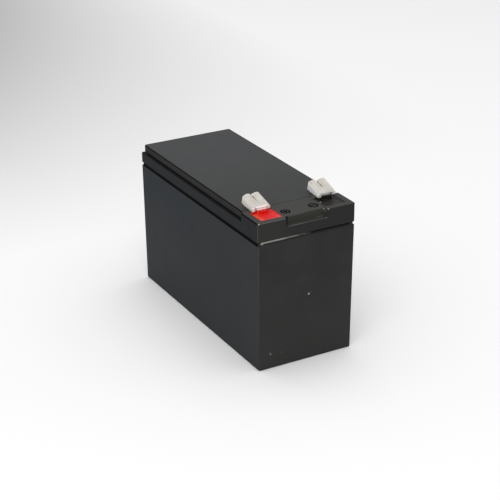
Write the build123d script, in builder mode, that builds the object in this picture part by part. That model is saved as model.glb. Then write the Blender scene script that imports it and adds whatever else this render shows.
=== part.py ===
from build123d import *
import math
import os

# Sealed lead-acid block battery, millimetres, +Z up.
# X runs along the block, with both terminals at +X; Y runs across it; the origin is the base's centre.

# Overall block
case_length = 151.0
case_width = 65.0
case_height = 93.5
corner_radius = 1.3
side_draft = 0.9
end_draft = 0.15

# Container
wall = 2.5
floor = 2.5
partition = 1.6
base_chamfer = 0.6
rim_chamfer = 0.3

# Cover, from the container's rim to the top
cover_height = 13.6
groove_height = 1.9
groove_depth = 0.6
ledge_drop = 5.2
deck_thickness = 2.5
headroom = 1.5
lip_depth = 1.2
lip_wall = 1.2
lip_clearance = 0.15
upstand_wall = 1.8
shelf_width = 2.0
band_chamfer = 0.3
edge_chamfer = 0.4

# Terminal block, wells and finger recess
block_length = 18.7
block_neck_length = 2.15
well_length = 14.2
well_width = 14.0
well_depth = 8.0
well_end_margin = 3.5
well_side_margin = 4.3
well_radius = 0.8
core_margin = 2.5
core_roof = 2.5
recess_width = 26.4
recess_depth = 2.3

# Vent cover plate
plate_inset = 1.57
plate_thickness = 2.0
plate_skirt = 1.3
plate_lift = 1.1
plate_seam = 0.35
skirt_clearance = 0.2
hold_down_width = 6.0
hold_down_gap = 0.15

# Vent necks and rubber valve caps
neck_radius = 5.0
vent_radius = 3.0
vent_from_shelf = 8.45
valve_clearance = 0.1
valve_wall = 1.2
valve_roof = 1.4
valve_headroom = 1.2
valve_foot_gap = 1.0

# Plates, mats and straps; a plate's share is its thickness against a mat's
positive_count = 4
positive_share = 2.8
negative_share = 1.75
stack_clearance = 0.19
plate_side_gap = 1.8
mat_side_gap = 0.6
mat_above_plate = 1.5
strap_above_mat = 2.0
strap_length = 9.0
strap_thickness = 3.0
lug_length = 7.0
flag_width = 9.0
flag_thickness = 3.0
flag_height = 8.8
flag_below_lip = 0.4
weld_radius = 3.0
weld_clearance = 0.05

# Terminal posts, rings and resin
post_radius = 3.5
post_clearance = 0.2
post_rise = 2.4
ring_width = 2.0
ring_thickness = 2.0
ring_clearance = 0.05
resin_drop = 0.6
resin_clearance = 0.05

# Tabs, of the 6.3 mm push-on size
tab_width = 6.35
tab_thickness = 0.8
tab_bend_radius = 1.2
tab_reach = 9.0
tab_chamfer = 1.2
tab_hole_radius = 0.9
tab_hole_from_tip = 3.0
tab_tilt = 15.5
tab_leg_from_well = 2.2
foot_overhang = 0.5

# Terminal caps, placed by the top edge of their mouths
cap_length = 12.7
cap_width = 11.5
cap_mouth_height = 2.6
cap_end_height = 4.9
cap_wall = 0.8
cap_roof_radius = 1.8
cap_end_rounding = 0.6
cap_open_length = 6.0
cap_clearance = 0.15
cap_side_clearance = 0.35
lobe_length = 8.0
lobe_rise = 0.95
lobe_inset = 0.35
cleft_length = 8.0
cleft_depth = 1.5
cleft_half_width = 1.0
cleft_tail_depth = 1.1
cleft_tail_half_width = 0.25
positive_mouth_setback = 4.5
positive_mouth_rise = 3.5
negative_mouth_setback = 2.9
negative_mouth_rise = 4.1
negative_side_shift = 0.6

# Places worked out from the sizes above
half_length = case_length / 2
half_width = case_width / 2
container_height = case_height - cover_height
ledge_height = case_height - ledge_drop
cell_length = (case_length - 2 * wall - 2 * partition) / 3
cell_width = (case_width - 2 * wall - partition) / 2
cell_pitch = cell_length + partition
cell_y = (cell_width + partition) / 2
band_bottom = container_height + groove_height
deck_bottom = container_height + headroom
deck_top = deck_bottom + deck_thickness
lip_bottom = container_height - lip_depth
plate_bottom_face = ledge_height + plate_lift
plate_seat = case_height - plate_thickness
block_x = half_length - block_length
neck_x = block_x - block_neck_length
plate_end_x = neck_x - plate_seam
plate_start_x = -half_length + plate_inset
plate_half_width = half_width - plate_inset
upstand_start_x = plate_start_x + plate_skirt + skirt_clearance
upstand_half_width = plate_half_width - plate_skirt - skirt_clearance
shelf_x = neck_x - shelf_width
well_x = half_length - well_end_margin - well_length / 2
well_y = half_width - well_side_margin - well_width / 2
well_floor = case_height - well_depth
valve_top = plate_seat - valve_headroom
neck_top = valve_top - valve_roof
valve_foot = deck_top + valve_foot_gap
strap_offset = well_x - cell_pitch
flag_top = lip_bottom - flag_below_lip
strap_bottom = flag_top - flag_height
strap_top = strap_bottom + strap_thickness
mat_top = strap_bottom - strap_above_mat
plate_top = mat_top - mat_above_plate
weld_z = (strap_bottom + flag_top) / 2
post_top = well_floor + post_rise
tab_leg_x = well_x - well_length / 2 + tab_leg_from_well
foot_end_x = well_x + post_radius + foot_overhang

# The plates and mats of a cell fill its width between them
negative_count = positive_count + 1
floor_lean = side_draft * (1 - floor / container_height)
stack_start = partition / 2 + stack_clearance
stack_width = cell_width - floor_lean - 2 * stack_clearance
stack_shares = positive_count * (positive_share + 2) + negative_count * negative_share
mat_thickness = stack_width / stack_shares
positive_thickness = positive_share * mat_thickness
negative_thickness = negative_share * mat_thickness
stack_pitch = negative_thickness + positive_thickness + 2 * mat_thickness
plate_foot = floor + mat_thickness

# Cells in series order as column and row, from the positive terminal round to the negative one
cells = [(1, -1), (0, -1), (-1, -1), (-1, 1), (0, 1), (1, 1)]

os.makedirs("parts", exist_ok=True)


def cos(degrees):
    return math.cos(math.radians(degrees))


def sin(degrees):
    return math.sin(math.radians(degrees))


def save(piece, node):
    piece.part.label = node
    export_step(piece.part, f"parts/{node}.step")


def cell_centres():
    return [(column * cell_pitch, row * cell_y) for column, row in cells]


def vent_centres():
    last_x = shelf_x - vent_from_shelf
    return [(last_x + (column - 1) * cell_pitch, row * cell_y) for column, row in cells]


def weld_places():
    """Centre and turn of each weld: four through the cross partitions, one through the long one."""
    across = [(x, y) for y in (-cell_y, cell_y) for x in (cell_pitch / 2, -cell_pitch / 2)]
    places = [Location((x, y, weld_z), (0, 90, 0)) for x, y in across]
    places.insert(2, Location((-cell_pitch - strap_offset, 0, weld_z), (90, 0, 0)))
    return places


def make_container():
    with BuildPart() as container:
        with BuildSketch(Plane.XY.offset(base_chamfer)) as foot:
            RectangleRounded(case_length - 2 * end_draft, case_width - 2 * side_draft, corner_radius)
        with BuildSketch(Plane.XY.offset(container_height - rim_chamfer)) as rim:
            RectangleRounded(case_length, case_width, corner_radius)
        loft(ruled=True)
        extrude(foot.sketch, amount=-base_chamfer, taper=45)
        extrude(rim.sketch, amount=rim_chamfer, taper=45)
        end_lean = end_draft * (1 - floor / container_height)
        with BuildSketch(Plane.XY.offset(floor)):
            Rectangle(case_length - 2 * (wall + end_lean), case_width - 2 * (wall + floor_lean))
        with BuildSketch(Plane.XY.offset(container_height)):
            Rectangle(case_length - 2 * wall, case_width - 2 * wall)
        loft(ruled=True, mode=Mode.SUBTRACT)
        # Partitions are rooted half way into the floor and the drafted walls
        side_root = (wall - side_draft) / 2
        end_root = (wall - end_draft) / 2
        with BuildSketch(Plane.XY.offset(floor / 2)):
            with Locations((-cell_pitch / 2, 0), (cell_pitch / 2, 0)):
                Rectangle(partition, case_width - 2 * (wall - side_root))
            Rectangle(case_length - 2 * (wall - end_root), partition)
        extrude(amount=container_height - floor / 2)
        with Locations(*weld_places()):
            Cylinder(weld_radius, 2 * partition, mode=Mode.SUBTRACT)
    save(container, "container")


def on_ledge_rim(edge):
    """True on the ledge's outer edge, short of the terminal block."""
    place = edge.center()
    at_side = abs(place.Y) > half_width - corner_radius or place.X < -half_length + corner_radius
    return abs(place.Z - ledge_height) < band_chamfer / 10 and at_side and place.X < block_x - band_chamfer


def on_recess_sill(edge):
    """True on the front edge of the finger recess's floor."""
    place = edge.center()
    at_front = place.X > half_length - band_chamfer / 10
    return at_front and abs(place.Z - ledge_height) < band_chamfer / 10


def make_cover():
    with BuildPart() as cover:
        with BuildSketch(Plane.XY.offset(container_height)):
            RectangleRounded(case_length - 2 * groove_depth, case_width - 2 * groove_depth, corner_radius)
        extrude(amount=groove_height)
        with BuildSketch(Plane.XY.offset(band_bottom)):
            RectangleRounded(case_length, case_width, corner_radius)
        extrude(amount=ledge_height - band_bottom)
        underside = cover.faces().filter_by(Plane.XY).group_by(Axis.Z)[1][0]
        chamfer(underside.outer_wire().edges(), band_chamfer)
        with BuildSketch(Plane.XY.offset(ledge_height)):
            RectangleRounded(case_length, case_width, corner_radius)
            with Locations((block_x, 0)):
                Rectangle(case_length, case_width, align=(Align.MAX, Align.CENTER), mode=Mode.SUBTRACT)
            with Locations((neck_x, 0)):
                Rectangle(block_length, 2 * plate_half_width, align=(Align.MIN, Align.CENTER))
        extrude(amount=case_height - ledge_height)
        # Finger recess in the near end
        with BuildSketch(Plane.XY.offset(ledge_height)):
            with Locations((half_length - recess_depth, 0)):
                Rectangle(2 * recess_depth, recess_width, align=(Align.MIN, Align.CENTER))
        extrude(amount=case_height, mode=Mode.SUBTRACT)
        top = cover.faces().sort_by(Axis.Z)[-1]
        chamfer(top.edges().filter_by(lambda e: e.center().X > neck_x + edge_chamfer), edge_chamfer)
        chamfer(cover.edges().filter_by(on_ledge_rim), band_chamfer)
        chamfer(cover.edges().filter_by(on_recess_sill), band_chamfer)
        # Upstand that carries the vent cover plate, and the vent chamber inside it
        with BuildSketch(Plane.XY.offset(ledge_height)):
            with Locations((upstand_start_x, 0)):
                upstand_length = neck_x - upstand_start_x + edge_chamfer
                Rectangle(upstand_length, 2 * upstand_half_width, align=(Align.MIN, Align.CENTER))
        extrude(amount=plate_seat - ledge_height)
        with BuildSketch(Plane.XY.offset(deck_top)):
            with Locations((upstand_start_x + upstand_wall, 0)):
                chamber_length = shelf_x - upstand_start_x - upstand_wall
                chamber_width = 2 * (upstand_half_width - upstand_wall)
                Rectangle(chamber_length, chamber_width, align=(Align.MIN, Align.CENTER))
        extrude(amount=plate_seat - deck_top, mode=Mode.SUBTRACT)
        # Lips that locate the cover in the six cells, and the head space inside them
        with BuildSketch(Plane.XY.offset(lip_bottom)):
            with Locations(*cell_centres()):
                Rectangle(cell_length - 2 * lip_clearance, cell_width - 2 * lip_clearance)
        extrude(amount=lip_depth)
        lip_inset = lip_clearance + lip_wall
        with BuildSketch(Plane.XY.offset(lip_bottom)):
            with Locations(*cell_centres()):
                Rectangle(cell_length - 2 * lip_inset, cell_width - 2 * lip_inset)
        extrude(amount=deck_bottom - lip_bottom, mode=Mode.SUBTRACT)
        # Hollows under the terminal block, either side of the long partition
        core_width = well_y - well_width / 2 - 2 * core_margin - partition / 2
        core_length = well_length - core_margin
        core_y = partition / 2 + core_margin + core_width / 2
        with BuildSketch(Plane.XY.offset(deck_bottom)):
            with Locations((well_x - core_margin / 2, core_y), (well_x - core_margin / 2, -core_y)):
                Rectangle(core_length, core_width)
        extrude(amount=case_height - core_roof - deck_bottom, mode=Mode.SUBTRACT)
        # Terminal wells with their post holes
        with BuildSketch(Plane.XY.offset(well_floor)):
            with Locations((well_x, well_y), (well_x, -well_y)):
                RectangleRounded(well_length, well_width, well_radius)
        extrude(amount=well_depth, mode=Mode.SUBTRACT)
        with BuildSketch(Plane.XY.offset(deck_bottom)):
            with Locations((well_x, well_y), (well_x, -well_y)):
                Circle(post_radius + post_clearance)
        extrude(amount=well_floor - deck_bottom, mode=Mode.SUBTRACT)
        # Vent necks
        with BuildSketch(Plane.XY.offset(deck_top)):
            with Locations(*vent_centres()):
                Circle(neck_radius)
        extrude(amount=neck_top - deck_top)
        with BuildSketch(Plane.XY.offset(deck_bottom)):
            with Locations(*vent_centres()):
                Circle(vent_radius)
        extrude(amount=neck_top - deck_bottom, mode=Mode.SUBTRACT)
    save(cover, "cover")


def make_vent_cover_plate():
    plate_length = plate_end_x - plate_start_x
    with BuildPart() as vent_cover_plate:
        with BuildSketch(Plane.XY.offset(plate_bottom_face)):
            with Locations((plate_start_x, 0)):
                Rectangle(plate_length, 2 * plate_half_width, align=(Align.MIN, Align.CENTER))
        extrude(amount=case_height - plate_bottom_face)
        fillet(vent_cover_plate.edges().filter_by(Axis.Z).group_by(Axis.X)[0], corner_radius)
        top = vent_cover_plate.faces().sort_by(Axis.Z)[-1]
        chamfer(top.edges().sort_by(Axis.X)[:-1], edge_chamfer)
        with BuildSketch(Plane.XY.offset(plate_bottom_face)):
            with Locations((plate_start_x + plate_skirt, 0)):
                hollow_width = 2 * (plate_half_width - plate_skirt)
                Rectangle(plate_length, hollow_width, align=(Align.MIN, Align.CENTER))
        extrude(amount=plate_seat - plate_bottom_face, mode=Mode.SUBTRACT)
        with BuildSketch(Plane.XY.offset(valve_top + hold_down_gap)):
            with Locations(*vent_centres()):
                Rectangle(hold_down_width, hold_down_width)
        extrude(amount=plate_seat - valve_top - hold_down_gap)
    save(vent_cover_plate, "vent_cover_plate")


def make_valve_cap(number, x, y):
    bore_radius = neck_radius + valve_clearance
    with BuildPart() as valve_cap:
        with BuildSketch(Plane.XY.offset(valve_foot)):
            with Locations((x, y)):
                Circle(bore_radius + valve_wall)
        extrude(amount=valve_top - valve_foot)
        with BuildSketch(Plane.XY.offset(valve_foot)):
            with Locations((x, y)):
                Circle(bore_radius)
        extrude(amount=neck_top - valve_foot, mode=Mode.SUBTRACT)
    save(valve_cap, f"valve_cap_{number}")


def link_blocks(number, column, row, side, strap_x, strap_start, positive):
    """Arm and flag that join a strap to the next cell's through the partition, as centre, size, height."""
    if (number, positive) in ((1, True), (6, False)):
        return []
    if (number, positive) in ((3, False), (4, True)):
        near = partition / 2
        arm_end = strap_start + flag_thickness
        arm = (strap_x, row * (near + arm_end) / 2, strap_length, arm_end - near)
        flag = (strap_x, row * (near + flag_thickness / 2), strap_length, flag_thickness)
    else:
        wall_x = column * cell_pitch + side * cell_length / 2
        arm = ((strap_x + wall_x) / 2, row * cell_y, abs(wall_x - strap_x), flag_width)
        flag = (wall_x - side * flag_thickness / 2, row * cell_y, flag_thickness, flag_width)
    return [(*arm, strap_thickness), (*flag, flag_height)]


def make_plate_group(number, column, row, positive):
    """Plates, lugs and cast strap of one polarity in one cell, burned together."""
    thickness = positive_thickness if positive else negative_thickness
    count = positive_count if positive else negative_count
    first = stack_start + thickness / 2
    if positive:
        first += negative_thickness + mat_thickness
    side = -row if positive else row
    strap_x = column * cell_pitch + side * strap_offset
    plate_ys = [row * (first + index * stack_pitch) for index in range(count)]
    strap_start = first - thickness / 2
    strap_width = (count - 1) * stack_pitch + thickness
    with BuildPart() as group:
        with BuildSketch(Plane.XY.offset(plate_foot)):
            with Locations(*[(column * cell_pitch, y) for y in plate_ys]):
                Rectangle(cell_length - 2 * plate_side_gap, thickness)
        extrude(amount=plate_top - plate_foot)
        with BuildSketch(Plane.XY.offset(plate_top)):
            with Locations(*[(strap_x, y) for y in plate_ys]):
                Rectangle(lug_length, thickness)
        extrude(amount=strap_bottom - plate_top)
        with BuildSketch(Plane.XY.offset(strap_bottom)):
            with Locations((strap_x, row * (strap_start + strap_width / 2))):
                Rectangle(strap_length, strap_width)
        extrude(amount=strap_thickness)
        blocks = link_blocks(number, column, row, side, strap_x, strap_start, positive)
        for x, y, along, across, height in blocks:
            with BuildSketch(Plane.XY.offset(strap_bottom)):
                with Locations((x, y)):
                    Rectangle(along, across)
            extrude(amount=height)
    name = "positive" if positive else "negative"
    save(group, f"{name}_plate_group_{number}")


def make_separators(number, column, row):
    """Glass mats, each folded up round one positive plate."""
    first = stack_start + negative_thickness + mat_thickness + positive_thickness / 2
    mat_ys = [row * (first + index * stack_pitch) for index in range(positive_count)]
    centres = [(column * cell_pitch, y) for y in mat_ys]
    mat_length = cell_length - 2 * mat_side_gap
    with BuildPart() as separators:
        with BuildSketch(Plane.XY.offset(floor)):
            with Locations(*centres):
                Rectangle(mat_length, positive_thickness + 2 * mat_thickness)
        extrude(amount=mat_top - floor)
        with BuildSketch(Plane.XY.offset(plate_foot)):
            with Locations(*centres):
                Rectangle(cell_length, positive_thickness)
        extrude(amount=mat_top - plate_foot, mode=Mode.SUBTRACT)
    save(separators, f"separators_{number}")


def make_weld(number, place):
    with BuildPart() as weld:
        with Locations(place):
            Cylinder(weld_radius - weld_clearance, partition)
    save(weld, f"intercell_weld_{number}")


def make_post(name, y):
    with BuildPart() as post:
        with BuildSketch(Plane.XY.offset(strap_top)):
            with Locations((well_x, y)):
                Circle(post_radius)
        extrude(amount=post_top - strap_top)
    save(post, f"{name}_post")


def make_post_ring(name, y):
    inner_radius = post_radius + ring_clearance
    with BuildPart() as ring:
        with BuildSketch(Plane.XY.offset(well_floor)):
            with Locations((well_x, y)):
                Circle(inner_radius + ring_width)
                Circle(inner_radius, mode=Mode.SUBTRACT)
        extrude(amount=ring_thickness)
    save(ring, f"{name}_post_ring")


def tab_route(mouth_x, mouth_rise, spare=0):
    """Middle line of a tab in the XZ plane: foot on the post, leg up, blade back under the cap's roof."""
    run = cos(tab_tilt)
    rise = sin(tab_tilt)
    below_roof = cap_wall + cap_clearance + tab_thickness / 2
    on_blade_x = mouth_x - below_roof * rise
    on_blade_z = case_height + mouth_rise - below_roof * run
    corner_z = on_blade_z + (on_blade_x - tab_leg_x) * rise / run
    foot_z = post_top + tab_thickness / 2
    points = [
        (foot_end_x + spare, foot_z),
        (tab_leg_x, foot_z),
        (tab_leg_x, corner_z),
        (tab_leg_x - tab_reach * run, corner_z + tab_reach * rise),
    ]
    return FilletPolyline(*points, radius=tab_bend_radius + tab_thickness / 2)


def make_seal(name, y, tab_y, mouth_x, mouth_rise):
    """Resin that fills a well round the post, its ring and the tab."""
    with BuildLine(Plane.XZ.offset(-tab_y)) as route:
        tab_route(mouth_x, mouth_rise, resin_clearance)
    section = Plane(route.line @ 0, x_dir=(0, 1, 0), z_dir=route.line % 0)
    with BuildPart() as seal:
        with BuildSketch(Plane.XY.offset(well_floor)):
            with Locations((well_x, y)):
                resin_length = well_length - 2 * resin_clearance
                resin_width = well_width - 2 * resin_clearance
                RectangleRounded(resin_length, resin_width, well_radius)
        extrude(amount=well_depth - resin_drop)
        ring_reach = post_radius + ring_clearance + ring_width
        ring_top = ring_thickness + resin_clearance
        for radius, height in ((ring_reach, ring_top), (post_radius, post_rise)):
            with BuildSketch(Plane.XY.offset(well_floor)):
                with Locations((well_x, y)):
                    Circle(radius + resin_clearance)
            extrude(amount=height, mode=Mode.SUBTRACT)
        with BuildSketch(section):
            Rectangle(tab_width + 2 * resin_clearance, tab_thickness + 2 * resin_clearance)
        sweep(path=route.line, mode=Mode.SUBTRACT)
    save(seal, f"{name}_seal")


def make_tab(name, y, mouth_x, mouth_rise):
    with BuildLine(Plane.XZ.offset(-y)) as route:
        tab_route(mouth_x, mouth_rise)
    section = Plane(route.line @ 0, x_dir=(0, 1, 0), z_dir=route.line % 0)
    tip = Plane(route.line @ 1, x_dir=(0, 1, 0), z_dir=(sin(tab_tilt), 0, cos(tab_tilt)))
    with BuildPart() as tab:
        with BuildSketch(section):
            Rectangle(tab_width, tab_thickness)
        sweep(path=route.line)
        tip_corners = tab.edges().filter_by(lambda e: abs(e.length - tab_thickness) < tab_thickness / 10)
        chamfer(tip_corners.sort_by(Axis.X)[:2], tab_chamfer)
        with BuildSketch(tip):
            with Locations((0, -tab_hole_from_tip)):
                Circle(tab_hole_radius)
        extrude(amount=tab_thickness, both=True, mode=Mode.SUBTRACT)
    save(tab, f"{name}_tab")


def make_terminal_cap(name, y, mouth_x, mouth_rise):
    """Sleeve with a sloping roof and thick sides, open at its mouth and below, cleft in two at its end."""
    run = cos(tab_tilt)
    rise = sin(tab_tilt)
    place = (mouth_x, y, case_height + mouth_rise)
    side = Plane(place, x_dir=(-run, 0, rise), z_dir=(0, 1, 0))
    mouth = Plane(place, x_dir=(0, -1, 0), z_dir=(-run, 0, rise))
    inner_end = cap_length - cap_wall
    inner_half_width = tab_width / 2 + cap_side_clearance
    with BuildPart() as cap:
        with BuildSketch(side):
            end_corners = (cap_length, 0), (cap_length, -cap_end_height)
            Polygon((0, 0), *end_corners, (0, -cap_mouth_height), align=None)
        extrude(amount=cap_width / 2, both=True)
        roof_edges = cap.edges().filter_by(lambda e: abs(e.length - cap_length) < cap_wall / 100)
        fillet(roof_edges, cap_roof_radius)
        end = cap.faces().filter_by(lambda f: f.normal_at().dot(mouth.z_dir) > run).sort_by(Axis.X)[0]
        fillet(end.edges().sort_by(Axis.Z)[1:], cap_end_rounding)
        # Two lobes rise near the end of the roof and sink back into it towards the mouth
        lobe_start = side.from_local_coords((cap_length - cap_end_rounding, 0))
        sinking = side.x_dir * -lobe_length - side.y_dir * lobe_rise
        lobe_radius = cap_width / 4 - lobe_inset
        with BuildSketch(Plane(lobe_start, x_dir=(0, 1, 0), z_dir=sinking)):
            with Locations((-cap_width / 4, lobe_rise), (cap_width / 4, lobe_rise)):
                Circle(lobe_radius, align=(Align.CENTER, Align.MAX))
            with Locations((0, lobe_rise)):
                Rectangle(cap_width, lobe_radius, align=(Align.CENTER, Align.MAX), mode=Mode.INTERSECT)
        extrude(amount=lobe_length + cap_wall)
        with BuildSketch(side):
            roof = -cap_wall
            end_floor = cap_wall - cap_end_height
            mouth_floor = cap_wall - cap_mouth_height
            Polygon((0, roof), (inner_end, roof), (inner_end, end_floor), (0, mouth_floor), align=None)
        extrude(amount=inner_half_width, both=True, mode=Mode.SUBTRACT)
        with BuildSketch(side):
            with Locations((0, -cap_wall)):
                Rectangle(cap_open_length, cap_end_height, align=(Align.MIN, Align.MAX))
        extrude(amount=inner_half_width, both=True, mode=Mode.SUBTRACT)
        # The cleft goes through the roof and narrows along it, cut from clear of the roof and the end
        front = (cap_length + cap_wall, cleft_half_width, cleft_depth)
        tail = (cap_length - cleft_length, cleft_tail_half_width, cleft_tail_depth)
        for along, half, depth in (front, tail):
            with BuildSketch(mouth.offset(along)):
                above = [(half, 0), (half, 2 * lobe_rise), (-half, 2 * lobe_rise), (-half, 0)]
                Polygon(*above, (0, -depth), align=None)
        loft(ruled=True, mode=Mode.SUBTRACT)
    save(cap, f"{name}_terminal_cap")


make_container()
make_cover()
make_vent_cover_plate()
for number, (x, y) in enumerate(vent_centres(), 1):
    make_valve_cap(number, x, y)
for number, (column, row) in enumerate(cells, 1):
    make_plate_group(number, column, row, positive=True)
    make_plate_group(number, column, row, positive=False)
    make_separators(number, column, row)
for number, place in enumerate(weld_places(), 1):
    make_weld(number, place)
for name, row, mouth_setback, mouth_rise, side_shift in (
    ("positive", -1, positive_mouth_setback, positive_mouth_rise, 0),
    ("negative", 1, negative_mouth_setback, negative_mouth_rise, negative_side_shift),
):
    y = row * well_y
    mouth_x = well_x - mouth_setback
    make_post(name, y)
    make_post_ring(name, y)
    tab_y = y + row * side_shift
    make_seal(name, y, tab_y, mouth_x, mouth_rise)
    make_tab(name, tab_y, mouth_x, mouth_rise)
    make_terminal_cap(name, tab_y, mouth_x, mouth_rise)
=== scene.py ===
import math

import bmesh
import bpy
from mathutils import Matrix, Vector, noise


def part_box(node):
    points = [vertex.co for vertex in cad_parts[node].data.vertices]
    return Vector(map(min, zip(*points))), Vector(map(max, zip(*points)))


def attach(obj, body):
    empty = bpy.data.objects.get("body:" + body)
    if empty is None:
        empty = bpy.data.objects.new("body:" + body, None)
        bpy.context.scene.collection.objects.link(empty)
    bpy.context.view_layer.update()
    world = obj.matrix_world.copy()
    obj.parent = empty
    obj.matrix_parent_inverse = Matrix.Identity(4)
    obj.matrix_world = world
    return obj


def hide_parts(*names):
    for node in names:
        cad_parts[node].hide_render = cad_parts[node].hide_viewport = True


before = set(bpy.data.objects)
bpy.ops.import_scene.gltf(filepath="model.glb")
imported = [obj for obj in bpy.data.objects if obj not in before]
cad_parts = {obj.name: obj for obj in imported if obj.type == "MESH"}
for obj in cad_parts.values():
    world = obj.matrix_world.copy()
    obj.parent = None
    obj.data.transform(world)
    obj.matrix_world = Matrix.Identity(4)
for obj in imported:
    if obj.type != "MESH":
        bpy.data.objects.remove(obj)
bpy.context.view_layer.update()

mm = 0.001  # the camera and the studio are in metres, everything else in millimetres
print("stage: frame loaded,", len(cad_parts), "nodes")

# Camera fitted to the block's edges in the photograph
cameraSettings = {
    "azimuth": 60.78,
    "elevation": 24.20,
    "roll": -0.286,
    "distance": 0.91204,
    "target": (-0.0132545, 0.0122747, 0.0335326),
    "focalPixels": 1433.0,
    "framePixels": 500,
    "sensor": 36.0,
    "clipEnd": 20.0,
}


def makeCamera(settings):
    azimuth = math.radians(settings["azimuth"])
    elevation = math.radians(settings["elevation"])
    level = math.cos(elevation)
    back = Vector((math.sin(azimuth) * level, -math.cos(azimuth) * level, math.sin(elevation)))
    right = (-back).cross(Vector((0, 0, 1))).normalized()
    up = right.cross(-back)
    roll = Matrix.Rotation(math.radians(settings["roll"]), 3, "Z")
    facing = Matrix((right, up, back)).transposed() @ roll
    data = bpy.data.cameras.new("camera")
    data.sensor_width = settings["sensor"]
    data.lens = settings["focalPixels"] / settings["framePixels"] * settings["sensor"]
    data.clip_end = settings["clipEnd"]
    camera = bpy.data.objects.new("camera", data)
    place = Vector(settings["target"]) + back * settings["distance"]
    camera.matrix_world = Matrix.Translation(place) @ facing.to_4x4()
    bpy.context.scene.collection.objects.link(camera)
    bpy.context.scene.camera = camera


makeCamera(cameraSettings)
print("stage: camera placed")


# A socket given as an input's value is linked, anything else is set
def setInput(tree, socket, value):
    if isinstance(value, bpy.types.NodeSocket):
        tree.links.new(value, socket)
    else:
        socket.default_value = value


def addNode(tree, kind, inputs=None, **fields):
    node = tree.nodes.new(kind)
    for key, value in fields.items():
        setattr(node, key, value)
    for key, value in (inputs or {}).items():
        setInput(tree, node.inputs[key], value)
    return node


def addMath(tree, operation, first, second=0.0):
    return addNode(tree, "ShaderNodeMath", {0: first, 1: second}, operation=operation).outputs[0]


def addVectorMath(tree, operation, first, second=(0, 0, 0)):
    inputs = {0: first, 1: second}
    return addNode(tree, "ShaderNodeVectorMath", inputs, operation=operation).outputs[0]


def addMix(tree, share, first, second):
    node = addNode(tree, "ShaderNodeMix", {0: share}, data_type="RGBA")
    colours = [socket for socket in node.inputs if socket.type == "RGBA"]
    for socket, value in zip(colours, (first, second)):
        setInput(tree, socket, value)
    return next(socket for socket in node.outputs if socket.type == "RGBA")


def addRange(tree, value, low, high, start, end, kind="LINEAR"):
    inputs = {"Value": value, "From Min": low, "From Max": high, "To Min": start, "To Max": end}
    return addNode(tree, "ShaderNodeMapRange", inputs, interpolation_type=kind).outputs["Result"]


def addGroup(tree, group, values):
    node = addNode(tree, "ShaderNodeGroup", node_tree=group)
    for key, value in values.items():
        node.inputs[key].default_value = value
    return node.outputs


def startGroup(name, inputs, outputs):
    group = bpy.data.node_groups.new(name, "ShaderNodeTree")
    for label, (kind, value) in inputs.items():
        kindName = "NodeSocket" + kind
        socket = group.interface.new_socket(label, in_out="INPUT", socket_type=kindName)
        socket.default_value = value
    for label in outputs:
        group.interface.new_socket(label, in_out="OUTPUT", socket_type="NodeSocketFloat")
    entry = group.nodes.new("NodeGroupInput").outputs
    leave = group.nodes.new("NodeGroupOutput").inputs
    return group, entry, leave, group.nodes.new("ShaderNodeTexCoord").outputs["Object"]


# Sizes inside the groups are in millimetres
noiseSettings = {
    "detail": {"Grain": 2.0, "Mottle": 4.0},
    "span": (0.3, 0.7),  # what a noise's values mostly cover
}


def makeMouldedGrain():
    inputs = {"Grain Size": ("Float", 0.4), "Mottle Size": ("Float", 12.0)}
    group, entry, leave, place = startGroup("mouldedGrain", inputs, ("Grain", "Mottle"))
    for label, detail in noiseSettings["detail"].items():
        scale = addMath(group, "DIVIDE", 1 / mm, entry[label + " Size"])
        values = {"Vector": place, "Scale": scale, "Detail": detail}
        cloud = addNode(group, "ShaderNodeTexNoise", values).outputs["Fac"]
        group.links.new(addRange(group, cloud, *noiseSettings["span"], 0.0, 1.0), leave[label])
    return group


def makeDustSpecks():
    inputs = {"Spacing": ("Float", 6.0), "Radius": ("Float", 0.05), "Share": ("Float", 0.2)}
    group, entry, leave, place = startGroup("dustSpecks", inputs, ("Mask",))
    scale = addMath(group, "DIVIDE", 1 / mm, entry["Spacing"])
    cells = addNode(group, "ShaderNodeTexVoronoi", {"Vector": place, "Scale": scale}).outputs
    pick = addNode(group, "ShaderNodeSeparateColor", {"Color": cells["Color"]}).outputs
    chosen = addMath(group, "LESS_THAN", pick["Red"], entry["Share"])
    size = addMath(group, "MULTIPLY", pick["Green"], entry["Radius"])
    dot = addMath(group, "LESS_THAN", cells["Distance"], size)
    group.links.new(addMath(group, "MULTIPLY", chosen, dot), leave["Mask"])
    return group


def makeSoftPatch():
    inputs = {
        "Centre": ("Vector", (0, 0, 0)), "Half Size": ("Vector", (1, 1, 1)),
        "Feather": ("Vector", (1, 1, 1)), "Strength": ("Float", 1.0),
    }
    group, entry, leave, place = startGroup("softPatch", inputs, ("Mask",))
    inMm = addVectorMath(group, "MULTIPLY", place, (1 / mm,) * 3)
    span = addVectorMath(group, "ABSOLUTE", addVectorMath(group, "SUBTRACT", inMm, entry["Centre"]))
    past = addVectorMath(group, "SUBTRACT", span, entry["Half Size"])
    mask = entry["Strength"]
    axes = addNode(group, "ShaderNodeSeparateXYZ", {0: past}).outputs
    widths = addNode(group, "ShaderNodeSeparateXYZ", {0: entry["Feather"]}).outputs
    for axis, width in zip(axes, widths):
        inside = addRange(group, axis, 0.0, width, 1.0, 0.0, "SMOOTHSTEP")
        mask = addMath(group, "MULTIPLY", inside, mask)
    group.links.new(mask, leave["Mask"])
    return group


mouldedGrain = makeMouldedGrain()
dustSpecks = makeDustSpecks()
softPatch = makeSoftPatch()


def startMaterial(name, settings):
    material = bpy.data.materials.new(name)
    material.use_nodes = True
    tree = material.node_tree
    shader = tree.nodes["Principled BSDF"]
    for key in settings:
        if key in shader.inputs:
            shader.inputs[key].default_value = settings[key]
    return material, tree, shader


def numbered(stem, count):
    return [stem + "_" + str(number) for number in range(1, count + 1)]


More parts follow.
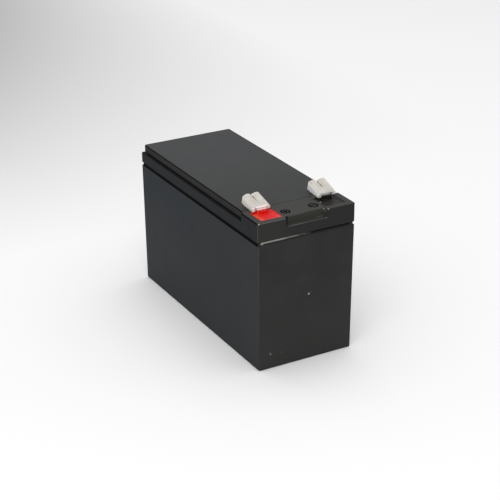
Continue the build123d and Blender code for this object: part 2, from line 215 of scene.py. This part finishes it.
# A surface is two colours mixed by the mottle, dust specks, marks seen in the photograph, and grain
# A mark is a soft box in millimetres: its centre, half size, feather, strength and colour. Most marks are
# painted light: painted highlights, glints and painted shade; the rest are specks and colour drifts of
# the resin and tab
plainSurface = {
    "nodes": [], "grain": 0.5, "mottle": 4.0, "gloss": (0.4, 0.6), "bump": 0.3, "relief": 0.05,
    "specks": {"Spacing": 9.0, "Radius": 0.05, "Share": 0.0}, "speck": (0.09, 0.09, 0.085, 1),
    "marks": [],
}
casePlastic = {
    **plainSurface, "grain": 0.35, "mottle": 14.0, "gloss": (0.36, 0.46), "bump": 0.25, "relief": 0.03,
    "specks": {"Spacing": 9.0, "Radius": 0.05, "Share": 0.25}, "Specular IOR Level": 0.02,
}
surfaceSettings = {
    "containerPlastic": {
        **casePlastic, "nodes": ["container"],
        "dark": (0.0278, 0.028, 0.0278, 1), "light": (0.0338, 0.034, 0.0336, 1),
        "marks": [
            # Painted light and shade: the left face tinted bluish, lighter towards the bottom and the
            # near end and darker at its far top; the near face lighter towards the bottom
            ((-1.0, -32.2, 40.0), (75.0, 0.8, 41.0), 0.4, 0.6, (0.028, 0.0325, 0.0365, 1)),
            ((0, -32.2, 0), (76, 0.8, 4), (1, 0.4, 70), 0.5, (0.0345, 0.038, 0.041, 1)),
            ((-45, -32.2, 72), (30, 0.8, 8), (40, 0.4, 20), 0.5, (0.0255, 0.0305, 0.0365, 1)),
            ((72, -32.2, 45), (4, 0.8, 35), (30, 0.4, 20), 0.5, (0.0335, 0.037, 0.040, 1)),
            ((75.5, 0, 0), (2, 33, 4), (1, 1, 70), 0.7, (0.0385, 0.0385, 0.0375, 1)),
            ((75.4, 1.7, 42.6), (2, 0.35, 0.35), 0.35, 1, (0.32, 0.32, 0.3, 1)),
            ((75.4, 3.6, 43.6), (2, 0.1, 0.1), 0.3, 1, (0.12, 0.12, 0.12, 1)),
            ((75.4, -24.0, 9.7), (2, 0.45, 0.45), 0.4, 1, (0.13, 0.13, 0.125, 1)),
            ((75.4, -16.5, 9.0), (2, 0.2, 0.2), 0.35, 1, (0.08, 0.08, 0.075, 1)),
            # Painted highlight down the near left vertical corner
            ((75.4, -32.2, 40.0), (0.4, 0.4, 39.0), 0.6, 0.6, (0.056, 0.056, 0.053, 1)),
            # Painted shade: the rim top inside the groove darkened all round
            ((-1.5, 0, 79.95), (76, 33, 0.2), 0.1, 1, (0.004, 0.004, 0.004, 1)),
        ],
    },
    "coverPlastic": {
        **casePlastic, "nodes": ["cover"], "Specular IOR Level": 0.01,
        "dark": (0.0216, 0.0228, 0.0245, 1), "light": (0.0266, 0.0278, 0.0293, 1),
        "marks": [
            # Painted light: the near end face lighter, more so at its left part, and the block's top
            # lighter where it is lit from above
            ((75.6, 0, 87.5), (0.4, 33, 6.5), 0.1, 0.7, (0.0285, 0.0283, 0.0278, 1)),
            ((75.6, -27.0, 87.5), (0.4, 7.0, 6.5), (0.1, 15.0, 0.1), 0.8, (0.035, 0.0345, 0.0305, 1)),
            ((66.0, 0, 93.6), (12, 33, 0.2), 0.15, 1, (0.058, 0.057, 0.0555, 1)),
            # Painted shade: the groove darkened all round, lightened again on the near end and darker at
            # its right part
            ((0, 0, 80.85), (76, 33, 0.9), 0.1, 1, (0.003, 0.003, 0.003, 1)),
            ((75.2, 1.0, 80.5), (0.6, 33.0, 1.2), 0.4, 1, (0.035, 0.035, 0.034, 1)),
            ((75.2, 16.0, 81.2), (0.6, 13.0, 0.45), 0.6, 0.9, (0.006, 0.006, 0.006, 1)),
            # Painted highlight along the left half of the near end's groove, brightest near the corner
            # and fading to the right
            ((75.2, -21.4, 81.2), (0.6, 8.0, 0.3), 0.4, 1, (0.27, 0.27, 0.255, 1)),
            ((75.2, -29.3, 80.85), (0.6, 0.6, 0.4), 0.4, 1, (0.3, 0.3, 0.285, 1)),
            ((75.2, -32.1, 80.6), (0.6, 0.2, 0.4), 0.3, 1, (0.16, 0.16, 0.15, 1)),
            ((75.2, -10.0, 81.25), (0.6, 4.5, 0.15), 0.4, 1, (0.2, 0.2, 0.19, 1)),
            ((75.2, -3.5, 81.3), (0.6, 3.0, 0.05), 0.4, 0.8, (0.11, 0.11, 0.105, 1)),
            # Painted shadow on the ledge and in the gap under the plate's overhang
            ((-11, 0, 88.8), (67, 33, 0.7), 0.1, 1, (0.015, 0.0155, 0.0165, 1)),
            # Painted shade along the block's long top edges, where they reflect dark
            ((66.2, -32.25, 93.3), (9.4, 0.3, 0.3), 0.15, 1, (0.002, 0.002, 0.002, 1)),
            ((66.2, 32.25, 93.3), (9.4, 0.3, 0.3), 0.15, 1, (0.004, 0.004, 0.004, 1)),
            # Painted highlights along the near top edge, at its left corner and down the near left
            # vertical corner
            ((75.25, -23.0, 93.3), (0.2, 8.3, 0.2), 0.15, 1, (0.085, 0.085, 0.08, 1)),
            ((75.1, -31.5, 93.3), (0.25, 0.3, 0.25), 0.2, 1, (0.32, 0.32, 0.3, 1)),
            ((75.4, -32.4, 87.0), (0.4, 0.15, 6.0), 0.4, 0.8, (0.07, 0.07, 0.066, 1)),
            # Painted light in the finger recess: back wall, floor and end wall lightened, with lighter
            # lines along the back wall's foot and top edge
            ((73.0, 0, 90.9), (0.5, 13.1, 2.4), 0.2, 1, (0.0385, 0.038, 0.034, 1)),
            ((74.2, 0, 88.35), (1.2, 13.1, 0.1), 0.1, 1, (0.05, 0.05, 0.047, 1)),
            ((73.2, 0, 88.7), (0.3, 13.1, 0.35), 0.2, 1, (0.055, 0.055, 0.051, 1)),
            ((73.2, 10.5, 88.9), (0.3, 2.0, 0.2), (0.3, 1.5, 0.3), 1, (0.085, 0.085, 0.077, 1)),
            ((73.2, -8.0, 93.2), (0.3, 4.8, 0.25), (0.1, 6.0, 0.1), 0.8, (0.06, 0.06, 0.056, 1)),
            ((74.3, 13.2, 91.0), (1.1, 0.15, 2.6), 0.1, 1, (0.045, 0.045, 0.043, 1)),
            # Painted shadow at the recess's left end
            ((73.2, -12.3, 91.0), (0.3, 0.5, 2.2), 0.3, 1, (0.003, 0.003, 0.003, 1)),
            ((75.5, -13.45, 90.9), (0.3, 0.3, 2.7), 0.25, 0.6, (0.003, 0.003, 0.003, 1)),
            ((74.9, -13.6, 93.4), (0.6, 0.3, 0.3), 0.3, 0.6, (0.003, 0.003, 0.003, 1)),
            # Painted highlights along the recess sill and painted glints at its right corners
            ((75.35, 0, 88.2), (0.15, 13.0, 0.15), 0.1, 1, (0.062, 0.062, 0.057, 1)),
            ((75.35, -6.5, 88.2), (0.15, 3.0, 0.15), (0.1, 3.5, 0.1), 1, (0.095, 0.095, 0.088, 1)),
            ((73.2, 12.4, 92.9), (0.3, 0.2, 0.2), 0.25, 1, (0.38, 0.38, 0.36, 1)),
            ((73.3, 13.1, 91.5), (0.3, 0.2, 0.2), 0.25, 1, (0.18, 0.18, 0.17, 1)),
            ((75.2, 12.9, 88.3), (0.3, 0.25, 0.2), 0.25, 1, (0.15, 0.15, 0.14, 1)),
            # Painted light lifting the negative cap's shadow on the block top
            ((58.0, 17.4, 93.5), (4.0, 1.2, 0.3), 1.1, 0.9, (0.14, 0.138, 0.125, 1)),
            # Painted glint at the near top corner by the recess's right end
            ((75.3, 14.2, 93.3), (0.3, 0.3, 0.3), 0.3, 1, (0.2, 0.2, 0.19, 1)),
        ],
    },
    "platePlastic": {
        **casePlastic, "nodes": ["vent_cover_plate"], "Specular IOR Level": 0.03,
        # The plate's colours are the case plastic painted lighter, as its top is lit
        "dark": (0.0425, 0.0437, 0.0453, 1), "light": (0.0545, 0.0557, 0.0575, 1),
        "marks": [
            # Painted shade: the plate darker and greyer towards its near end, lighter and bluish at the
            # far end
            ((60, 0, 93.5), (2, 31, 1), (85, 1, 1), 0.9, (0.0425, 0.0435, 0.0435, 1)),
            # Painted light lifting the negative cap's shadow on the plate
            ((58.0, 17.4, 93.5), (4.0, 1.2, 0.3), 1.1, 0.9, (0.14, 0.138, 0.125, 1)),
            # Painted shade on the plate's left side wall and along its top edges, where they reflect dark
            ((-11, -30.95, 91.1), (66, 0.1, 2.2), 0.12, 1, (0.021, 0.0215, 0.0217, 1)),
            ((-11, -30.7, 93.3), (66, 0.35, 0.35), 0.2, 1, (0.002, 0.002, 0.002, 1)),
            ((-11, 30.5, 93.3), (66, 0.5, 0.35), 0.15, 1, (0.004, 0.004, 0.004, 1)),
            ((-73.65, 0, 93.3), (0.4, 31, 0.3), 0.15, 1, (0.012, 0.012, 0.012, 1)),
        ],
    },
    "valveRubber": {
        **plainSurface, "nodes": numbered("valve_cap", 6),
        "dark": (0.012, 0.012, 0.012, 1), "light": (0.03, 0.03, 0.031, 1),
        "grain": 0.25, "gloss": (0.6, 0.8), "bump": 0.4,
    },
    "ringRubber": {
        **plainSurface, "nodes": ["positive_post_ring", "negative_post_ring"],
        "dark": (0.01, 0.01, 0.01, 1), "light": (0.02, 0.02, 0.02, 1),
        "grain": 0.2, "mottle": 2.0, "gloss": (0.5, 0.65), "relief": 0.03,
    },
    "positivePaste": {
        **plainSurface, "nodes": numbered("positive_plate_group", 6),
        "dark": (0.07, 0.035, 0.022, 1), "light": (0.15, 0.085, 0.055, 1),
        "grain": 0.9, "mottle": 7.0, "gloss": (0.75, 0.95), "bump": 0.8, "relief": 0.12,
    },
    "negativePaste": {
        **plainSurface, "nodes": numbered("negative_plate_group", 6),
        "dark": (0.18, 0.19, 0.2, 1), "light": (0.32, 0.33, 0.35, 1),
        "grain": 0.9, "mottle": 7.0, "gloss": (0.6, 0.85), "bump": 0.7, "relief": 0.1,
    },
    "glassMat": {
        **plainSurface, "nodes": numbered("separators", 6),
        "dark": (0.72, 0.72, 0.7, 1), "light": (0.86, 0.86, 0.84, 1),
        "grain": 0.3, "mottle": 3.0, "gloss": (0.85, 1.0), "bump": 1.0, "relief": 0.15,
    },
    "castLead": {
        **plainSurface, "nodes": [*numbered("intercell_weld", 5), "positive_post", "negative_post"],
        "dark": (0.24, 0.25, 0.27, 1), "light": (0.42, 0.43, 0.46, 1), "Metallic": 0.9,
        "grain": 0.6, "mottle": 3.0, "gloss": (0.4, 0.65), "bump": 0.4,
    },
    "tinPlate": {
        **plainSurface, "nodes": ["positive_tab", "negative_tab"],
        "dark": (0.72, 0.72, 0.7, 1), "light": (0.9, 0.9, 0.88, 1), "Metallic": 1.0,
        "mottle": 2.0, "gloss": (0.25, 0.4), "bump": 0.15, "relief": 0.02,
        "marks": [((60.6, -21.2, 94.1), (1.5, 3.6, 0.3), (0.4, 0.4, 1.6), 0.85, (0.9, 0.2, 0.17, 1))],
    },
    "redResin": {
        **plainSurface, "nodes": ["positive_seal"], "Specular IOR Level": 0.08,
        "dark": (0.58, 0.004, 0.004, 1), "light": (0.7, 0.02, 0.016, 1),
        "grain": 1.6, "mottle": 3.5, "gloss": (0.3, 0.5), "bump": 0.6, "relief": 0.15,
        "marks": [
            ((64.5, -26.4, 93.0), (2.5, 0.4, 3), 1.8, 0.6, (0.7, 0.1, 0.035, 1)),
            ((69.6, -26.4, 93.0), (0.6, 0.8, 3), 1.6, 0.6, (0.7, 0.13, 0.06, 1)),
            ((69.6, -15.2, 93.0), (1.2, 0.4, 3), 1.8, 0.6, (0.62, 0.09, 0.12, 1)),
            ((61.5, -19.5, 93.0), (1.5, 2.5, 3), 2.0, 0.9, (0.62, 0.0, 0.0, 1)),
        ],
    },
    "blackResin": {
        **plainSurface, "nodes": ["negative_seal"], "Specular IOR Level": 0.08,
        "dark": (0.008, 0.0076, 0.0068, 1), "light": (0.02, 0.0192, 0.017, 1),
        "grain": 1.2, "mottle": 2.5, "gloss": (0.3, 0.5), "bump": 0.7, "relief": 0.15,
        "marks": [
            # Painted shadow under the negative cap's mouth
            ((59.2, 22.0, 93.3), (2.0, 3.4, 3), 0.9, 1, (0.003, 0.003, 0.002, 1)),
            # Painted glint on the resin
            ((63.8, 15.9, 93.3), (0.5, 0.2, 2), 0.3, 1, (0.4, 0.4, 0.38, 1)),
        ],
    },
    "milkyPlastic": {
        **plainSurface, "nodes": ["positive_terminal_cap", "negative_terminal_cap"],
        "dark": (0.522, 0.485, 0.438, 1), "light": (0.595, 0.561, 0.512, 1),
        "Subsurface Weight": 0.8, "Subsurface Scale": 3 * mm, "Subsurface Radius": (1.0, 0.85, 0.7),
        "gloss": (0.35, 0.5), "bump": 0.15, "relief": 0.03,
        "marks": [
            # Painted light: the caps' mouth lips painted brighter and whiter than their shaded, red-lit
            # faces
            ((60.2, -21.2, 95.2), (0.8, 6.2, 1.3), 0.25, 1, (0.95, 0.92, 0.88, 1)),
            ((61.8, 26.9, 95.8), (0.8, 1.6, 1.3), 0.25, 1, (0.95, 0.92, 0.88, 1)),
            ((61.8, 17.0, 95.8), (0.8, 1.2, 1.3), 0.25, 0.6, (0.85, 0.82, 0.78, 1)),
            ((60.2, -21.2, 96.35), (0.7, 3.5, 0.65), 0.2, 1, (0.95, 0.94, 0.92, 1)),
            # Painted light on the caps' left flanks
            ((54.3, -27.3, 96.5), (8.0, 0.3, 4.0), 0.6, 1, (0.68, 0.64, 0.59, 1)),
            ((56.0, 15.65, 96.5), (8.0, 0.35, 4.0), 0.6, 1, (0.97, 0.94, 0.88, 1)),
            # Painted light in the clefts between the lobes at the closed ends
            ((49.0, -21.2, 98.0), (2.0, 0.45, 5.0), (1.5, 0.2, 0.2), 1, (0.95, 0.92, 0.88, 1)),
            ((50.6, 21.8, 98.6), (2.0, 0.45, 5.0), (1.5, 0.2, 0.2), 0.6, (0.9, 0.87, 0.82, 1)),
        ],
    },
    "markPaint": {
        **plainSurface, "dark": (0.002, 0.002, 0.002, 1), "light": (0.004, 0.004, 0.004, 1),
        "Specular IOR Level": 0.0, "grain": 0.3, "mottle": 1.5, "gloss": (0.7, 0.9), "relief": 0.02,
    },
}


def makeSurface(name):
    settings = surfaceSettings[name]
    material, tree, shader = startMaterial(name, settings)
    grainSizes = {"Grain Size": settings["grain"], "Mottle Size": settings["mottle"]}
    grain = addGroup(tree, mouldedGrain, grainSizes)
    colour = addMix(tree, grain["Mottle"], settings["dark"], settings["light"])
    if settings["specks"]["Share"]:
        dust = addGroup(tree, dustSpecks, settings["specks"])
        colour = addMix(tree, dust["Mask"], colour, settings["speck"])
    for centre, half, feather, strength, mark in settings["marks"]:
        soft = feather if isinstance(feather, tuple) else (feather,) * 3
        values = {"Centre": centre, "Half Size": half, "Feather": soft, "Strength": strength}
        colour = addMix(tree, addGroup(tree, softPatch, values)["Mask"], colour, mark)
    gloss = addRange(tree, grain["Mottle"], 0.0, 1.0, *settings["gloss"])
    relief = {"Height": grain["Grain"], "Strength": settings["bump"], "Distance": settings["relief"] * mm}
    normal = addNode(tree, "ShaderNodeBump", relief).outputs["Normal"]
    for label, socket in (("Base Color", colour), ("Roughness", gloss), ("Normal", normal)):
        tree.links.new(socket, shader.inputs[label])
    for node in settings["nodes"]:
        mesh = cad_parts[node].data
        mesh.materials.clear()
        mesh.materials.append(material)
    return material


surfaces = {name: makeSurface(name) for name in surfaceSettings}
print("stage: materials on every node")


def addPiece(name, bm, material, smooth=True):
    mesh = bpy.data.meshes.new(name)
    bm.to_mesh(mesh)
    bm.free()
    mesh.materials.append(material)
    for face in mesh.polygons:
        face.use_smooth = smooth
    piece = bpy.data.objects.new(name, mesh)
    bpy.context.scene.collection.objects.link(piece)
    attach(piece, "root")
    return piece


# Circled plus and circled minus moulded beside the wells
markSettings = {
    "x": 66.7, "y": 9.3, "outer": 2.95, "ring": 0.95, "arm": 1.5, "bar": 0.9,
    "rise": 0.06, "sunk": 0.05, "steps": 48,
}


def makeMark(name, side, bars):
    s = markSettings
    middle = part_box("cover")[1].z + (s["rise"] - s["sunk"]) * mm / 2
    centre = Vector((s["x"] * mm, side * s["y"] * mm, middle))
    depth = (s["rise"] + s["sunk"]) * mm
    bm = bmesh.new()
    outer = s["outer"] * mm
    inner = outer - s["ring"] * mm
    section = ((outer, -depth / 2), (outer, depth / 2), (inner, depth / 2), (inner, -depth / 2))
    corners = [bm.verts.new(centre + Vector((radius, 0, height))) for radius, height in section]
    edges = [bm.edges.new(pair) for pair in zip(corners, corners[1:] + corners[:1])]
    bmesh.ops.spin(
        bm, geom=corners + edges, cent=centre, axis=(0, 0, 1), angle=math.tau,
        steps=s["steps"], use_merge=True,
    )
    for turn in bars:
        size = Matrix.Diagonal((s["bar"] * mm, 2 * s["arm"] * mm, depth, 1))
        place = Matrix.Translation(centre) @ Matrix.Rotation(turn, 4, "Z")
        bmesh.ops.create_cube(bm, size=1, matrix=place @ size)
    bmesh.ops.recalc_face_normals(bm, faces=bm.faces)
    addPiece(name, bm, surfaces["markPaint"], smooth=False)


makeMark("positive_mark", -1, (0, math.pi / 2))
makeMark("negative_mark", 1, (0,))
print("stage: polarity marks")


# Poured resin: an uneven skin that climbs the well's walls and the tab's leg
resinSettings = {
    "cells": 56, "corner": 0.8, "sunk": 0.35, "level": 0.12, "least": 0.02,
    "climb": 0.38, "reach": 0.55,
    "wave": 0.16, "waveSize": 3.2, "ripple": 0.05, "rippleSize": 0.9,
    "legFromWall": 2.15, "legHalf": (0.6, 3.2), "legReach": 0.6,
    "legClimb": {"positive": 0.5, "negative": 1.7},
}


def makeResinSkin(side, colour):
    s = resinSettings
    low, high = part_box(side + "_seal")
    centre = (low + high) / 2
    legY = sum(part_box(side + "_tab"), Vector()).y / 2 - centre.y
    half = (high - low) / 2
    corner = s["corner"] * mm
    bm = bmesh.new()
    bmesh.ops.create_grid(bm, x_segments=s["cells"], y_segments=s["cells"], size=1)
    for vert in bm.verts:
        x = vert.co.x * half.x
        y = vert.co.y * half.y
        over = Vector((abs(x) - half.x + corner, abs(y) - half.y + corner))
        if min(over) > 0 and over.length > corner:
            over *= corner / over.length
            x = math.copysign(half.x - corner + over.x, x)
            y = math.copysign(half.y - corner + over.y, y)
        wall = min(half.x - abs(x), half.y - abs(y)) / mm
        fromLeg = Vector((abs(x + half.x - s["legFromWall"] * mm), abs(y - legY))) / mm
        leg = Vector([max(value, 0) for value in fromLeg - Vector(s["legHalf"])]).length
        place = Vector((centre.x + x, centre.y + y, high.z))
        lift = s["level"] + s["climb"] * math.exp(-wall / s["reach"])
        lift += s["legClimb"][side] * math.exp(-leg / s["legReach"])
        lift += s["wave"] * noise.noise(place / (s["waveSize"] * mm))
        lift += s["ripple"] * noise.noise(place / (s["rippleSize"] * mm))
        vert.co = place + Vector((0, 0, max(lift, s["least"]) * mm))
    bmesh.ops.recalc_face_normals(bm, faces=bm.faces)
    bmesh.ops.solidify(bm, geom=bm.faces[:], thickness=s["sunk"] * mm)
    addPiece(side + "_resin_skin", bm, surfaces[colour + "Resin"])


makeResinSkin("positive", "red")
makeResinSkin("negative", "black")
print("stage: resin skins")


# Terminal caps: the moulded shells with every edge softened
capSettings = {
    "weld": 0.001, "voxel": 0.17, "smoothing": 0.6, "passes": 8,
    "tilt": 15.5, "length": 12.7, "mouthHeight": 2.6, "endHeight": 4.9,  # as moulded
    "drop": 0.8, "farDrop": 0.35, "dropFades": 8.0, "endShare": 0.4,  # of the sides, less at the end
    "flare": 0.35, "roof": 0.8, "mouthHalf": 3.4, "lipFades": 0.5,
    "fills": {  # of the lobes' sides, the closed end and the lip
        "positive_terminal_cap": {
            "nearOuter": 0.38, "farInner": 0.45, "farOuter": 0.0, "end": 0.28, "lip": 0.7,
        },
        "negative_terminal_cap": {
            "nearOuter": 0.45, "farInner": 0.2, "farOuter": 0.45, "end": 0.45, "lip": 0.35,
        },
    },
}


def clamp(value):
    return min(max(value, 0), 1)


# Against the moulded shell, the sides hang lower, the lobes are squarer at the closed end, the far
# side flares towards the mouth and the lip slopes forward, all by less than a millimetre
def fillOut(bm, node):
    s = capSettings
    fill = s["fills"][node]
    tilt = math.radians(s["tilt"])
    low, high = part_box(node)
    mouth = Vector((high.x, (low.y + high.y) / 2, low.z + s["mouthHeight"] * mm * math.cos(tilt)))
    down = Vector((-math.sin(tilt), 0, -math.cos(tilt)))
    back = Vector((-math.cos(tilt), 0, math.sin(tilt)))
    bm.normal_update()
    for vert in bm.verts:
        offset = vert.co - mouth
        normal = vert.normal.copy()
        along = offset.dot(back) / mm
        depth = offset.dot(down) / mm
        height = s["mouthHeight"] + (s["endHeight"] - s["mouthHeight"]) * along / s["length"]
        share = clamp(depth / height) ** 2
        fade = clamp((along - s["dropFades"]) / (s["length"] - s["dropFades"]))
        drop = s["farDrop"] if offset.y > 0 else s["drop"]
        shift = down * drop * share * (1 - fade * (1 - s["endShare"]))
        toEnd = clamp(along / s["length"])
        upward = max(-normal.dot(down), 0)
        backward = max(normal.dot(back), 0)
        left = max(-normal.y, 0)
        right = max(normal.y, 0)
        if offset.y > 0:
            sides = fill["farOuter"] * right ** 2 + fill["farInner"] * left ** 2
        else:
            sides = fill["nearOuter"] * left ** 2
        corner = (sides + fill["end"] * backward ** 2) * (2 * upward) ** 2  # full at 45 degrees
        shift += normal * corner * toEnd
        if offset.y > 0:
            shift += Vector((0, s["flare"] * right * (1 - toEnd), 0))
        if abs(offset.y) < s["mouthHalf"] * mm:
            nearMouth = clamp(1 - along / s["lipFades"])
            shift -= back * fill["lip"] * nearMouth * clamp(depth / s["roof"])
        vert.co += shift * mm
        vert.co.z = min(vert.co.z, high.z)


def makeSoftCap(name, node):
    s = capSettings
    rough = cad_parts[node].data.copy()
    bm = bmesh.new()
    bm.from_mesh(rough)
    bmesh.ops.remove_doubles(bm, verts=bm.verts, dist=s["weld"] * mm)
    bm.to_mesh(rough)
    bm.free()
    shell = bpy.data.objects.new(name + "Source", rough)
    bpy.context.scene.collection.objects.link(shell)
    remesh = shell.modifiers.new("remesh", "REMESH")
    remesh.mode = "VOXEL"
    remesh.voxel_size = s["voxel"] * mm
    relax = shell.modifiers.new("relax", "SMOOTH")
    relax.factor = s["smoothing"]
    relax.iterations = s["passes"]
    bpy.context.view_layer.update()
    shaped = bpy.data.meshes.new_from_object(shell.evaluated_get(bpy.context.evaluated_depsgraph_get()))
    bpy.data.objects.remove(shell)
    bm = bmesh.new()
    bm.from_mesh(shaped)
    fillOut(bm, node)
    piece = addPiece(name, bm, surfaces["milkyPlastic"])
    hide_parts(node)


makeSoftCap("positive_cap_shell", "positive_terminal_cap")
makeSoftCap("negative_cap_shell", "negative_terminal_cap")
print("stage: terminal caps")


# Pale studio: floor, two lamps and world
stageSettings = {
    "floorSize": 6.0,
    "floorFinish": {"Roughness": 0.9, "Specular IOR Level": 0.1},
    "floorColour": (0.95, 0.95, 0.95, 1),
    # Painted shade: the floor's colour darkens beyond the block's far left
    "paintedShadeColour": (0.05, 0.05, 0.05, 1),  # the floor is darker beyond the block's far left
    "cornerX": (-0.95, -0.15),
    "cornerY": (-0.03, 0.33),
    "worldColour": (1, 1, 1, 1),
    "worldLight": 0.7,
    "worldSeen": 0.95,
    "lamps": {  # place, aim, size, power
        "softKey": ((0.75, -0.62, 1.15), (0.0, 0.0, 0.05), 0.9, 5.5),
        "overhead": ((-0.2, 0.15, 1.5), (0.0, 0.0, 0.05), 1.2, 5.0),
    },
}


def makeFloor(settings):
    bm = bmesh.new()
    bmesh.ops.create_grid(bm, x_segments=1, y_segments=1, size=settings["floorSize"] / 2)
    mesh = bpy.data.meshes.new("floor")
    bm.to_mesh(mesh)
    bm.free()
    material, tree, shader = startMaterial("paleFloor", settings["floorFinish"])
    place = tree.nodes.new("ShaderNodeTexCoord").outputs["Object"]
    axes = addNode(tree, "ShaderNodeSeparateXYZ", {0: place}).outputs
    far = addRange(tree, axes["X"], *settings["cornerX"], 1.0, 0.0)
    left = addRange(tree, axes["Y"], *settings["cornerY"], 1.0, 0.0)
    share = addMath(tree, "MULTIPLY", far, left)
    colour = addMix(tree, share, settings["floorColour"], settings["paintedShadeColour"])
    tree.links.new(colour, shader.inputs["Base Color"])
    mesh.materials.append(material)
    floor = bpy.data.objects.new("floor", mesh)
    bpy.context.scene.collection.objects.link(floor)


def makeLamp(name, place, aim, size, power):
    data = bpy.data.lights.new(name, "AREA")
    data.shape = "SQUARE"
    data.size = size
    data.energy = power
    lamp = bpy.data.objects.new(name, data)
    facing = (Vector(aim) - Vector(place)).to_track_quat("-Z", "Y").to_matrix().to_4x4()
    lamp.matrix_world = Matrix.Translation(place) @ facing
    bpy.context.scene.collection.objects.link(lamp)


def makeWorld(settings):
    world = bpy.data.worlds.new("studio")
    bpy.context.scene.world = world
    world.use_nodes = True
    tree = world.node_tree
    back = tree.nodes["Background"].inputs
    rays = tree.nodes.new("ShaderNodeLightPath").outputs
    passing = addMath(tree, "MAXIMUM", rays["Is Glossy Ray"], rays["Is Transmission Ray"])
    seen = addMath(tree, "MAXIMUM", rays["Is Camera Ray"], passing)
    strength = addRange(tree, seen, 0.0, 1.0, settings["worldLight"], settings["worldSeen"])
    tree.links.new(strength, back["Strength"])
    back["Color"].default_value = settings["worldColour"]


makeFloor(stageSettings)
for name, values in stageSettings["lamps"].items():
    makeLamp(name, *values)
makeWorld(stageSettings)
bpy.context.scene.view_settings.view_transform = "Standard"
print("stage: floor and light")
